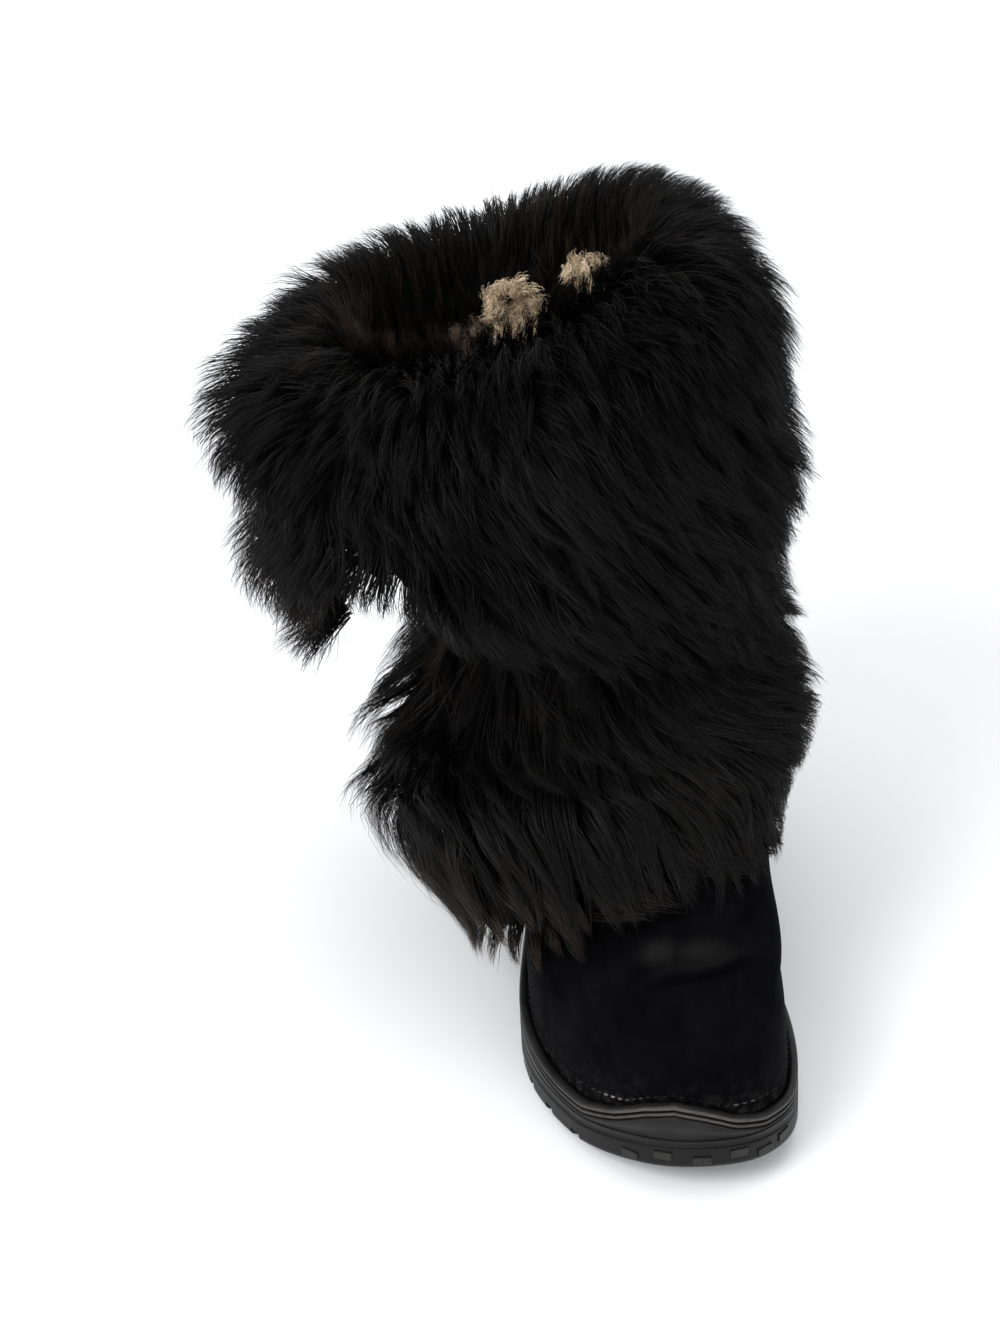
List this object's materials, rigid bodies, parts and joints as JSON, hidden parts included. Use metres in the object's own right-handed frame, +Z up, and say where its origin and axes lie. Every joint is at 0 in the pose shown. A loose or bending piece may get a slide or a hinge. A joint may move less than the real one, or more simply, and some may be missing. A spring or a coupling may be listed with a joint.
{
  "type": "mukluk boot",
  "caption": "Right-foot pull-on winter boot: suede shell on a cupped rubber sole, long-haired fur shaft and a turned-down fur cuff.",
  "frame": {"origin": "on the floor, on the tread under the middle of the heel", "axes": "+Z up, -Y towards the toe, +X towards the wearer's inner side of this right boot"},
  "size_m": [0.2299, 0.311, 0.3019],
  "materials": {
    "rubber": "satin moulded black rubber",
    "felt": "pale wool pile",
    "suede": "black napped suede",
    "fur": "long near-black hair",
    "lining": "cream curled wool pile"
  },
  "bodies": {
    "root": {"outsole": "rubber", "midsole": "rubber", "rand": "rubber", "insole": "felt", "upper": "suede", "shaft_fur": "fur", "cuff_fur": "fur"}
  },
  "joints": []
}
